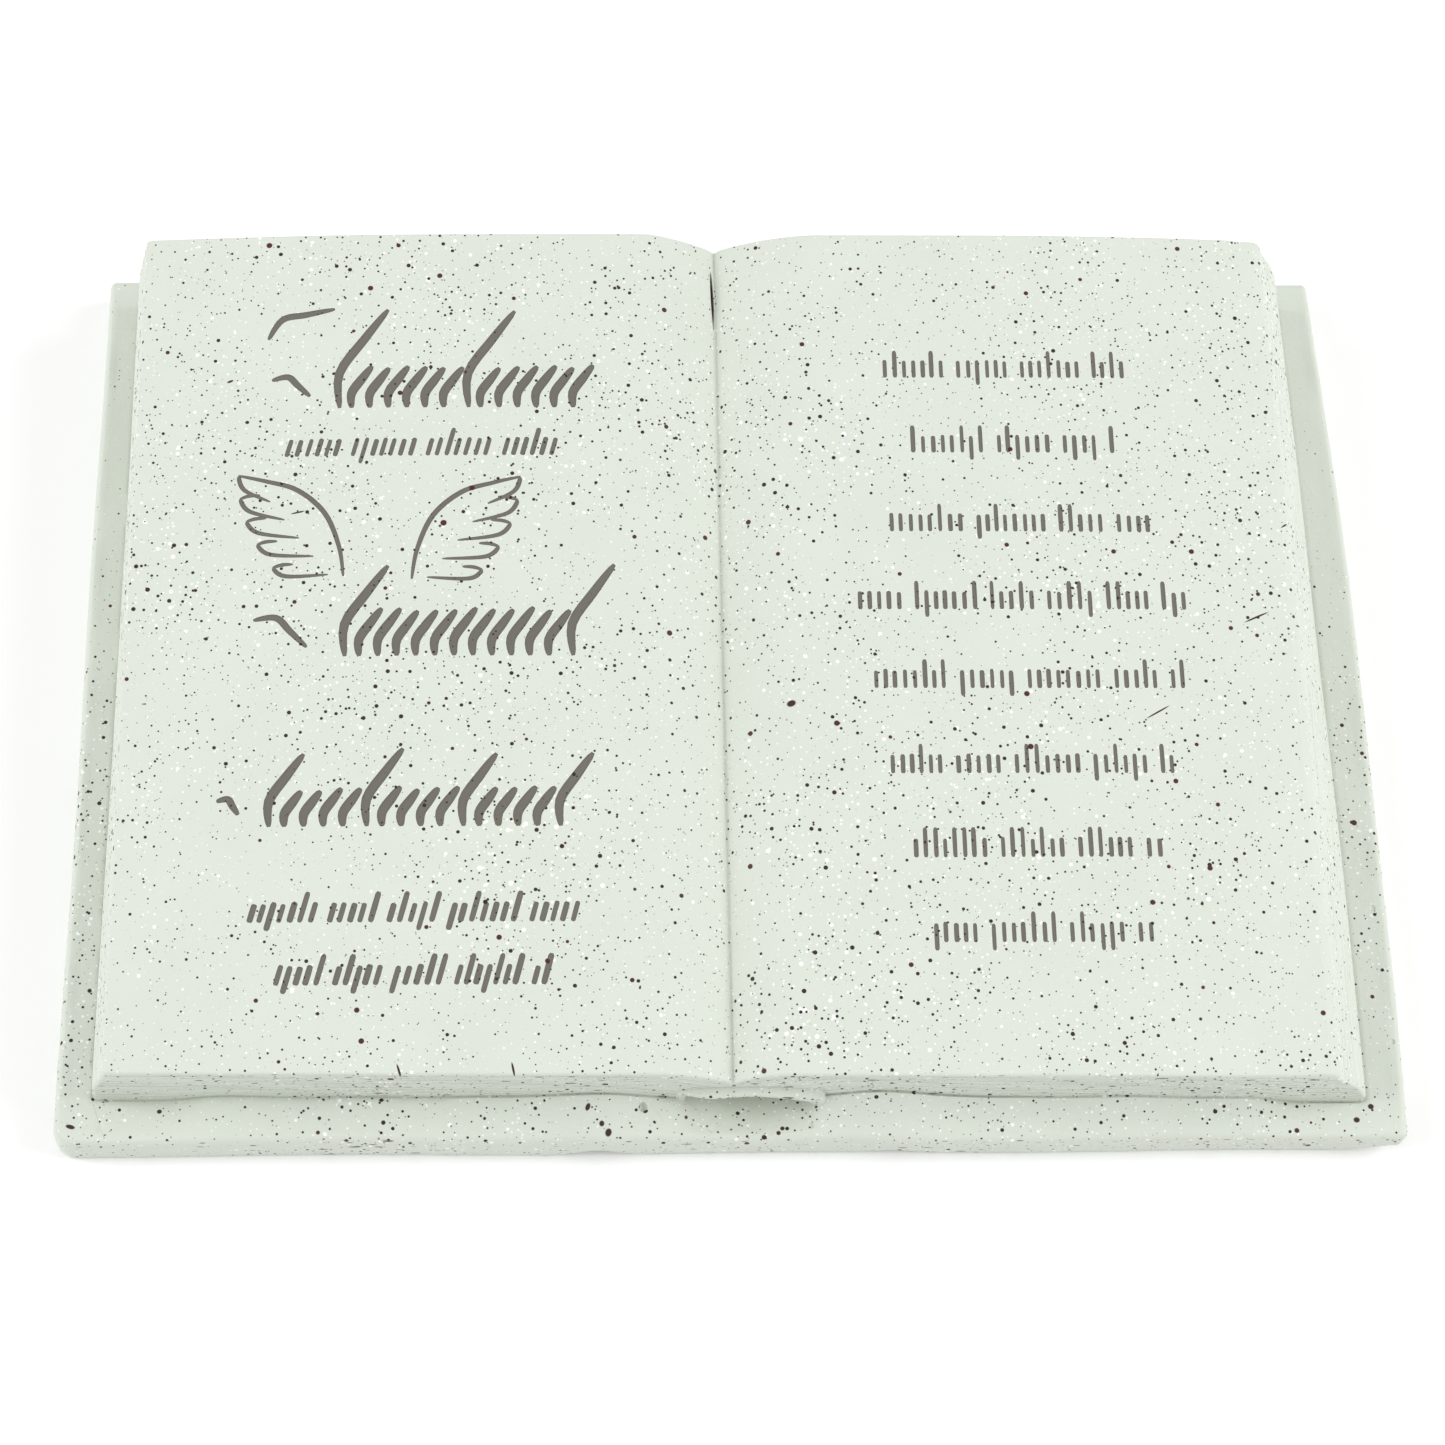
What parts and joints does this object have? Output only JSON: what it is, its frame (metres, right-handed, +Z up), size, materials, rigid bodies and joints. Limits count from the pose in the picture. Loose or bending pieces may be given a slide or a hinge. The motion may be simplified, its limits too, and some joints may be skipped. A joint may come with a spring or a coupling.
{
  "type": "open book headstone",
  "caption": "Open book memorial that lies flat: sloping pages with a rolled gutter and rows of shallow strokes, on a thin cover board with a small arch over the spine.",
  "frame": {"origin": "middle of the footprint, on the ground", "axes": "+X across both pages, to the reader's right; +Y from the reader's edge to the head of the book; +Z up"},
  "size_m": [0.2064, 0.1528, 0.0282],
  "materials": {
    "speckled_resin": "matt off-white stone-effect cast resin with fine dark brown and white speckles"
  },
  "bodies": {
    "root": {"open_book": "speckled_resin"}
  },
  "joints": []
}
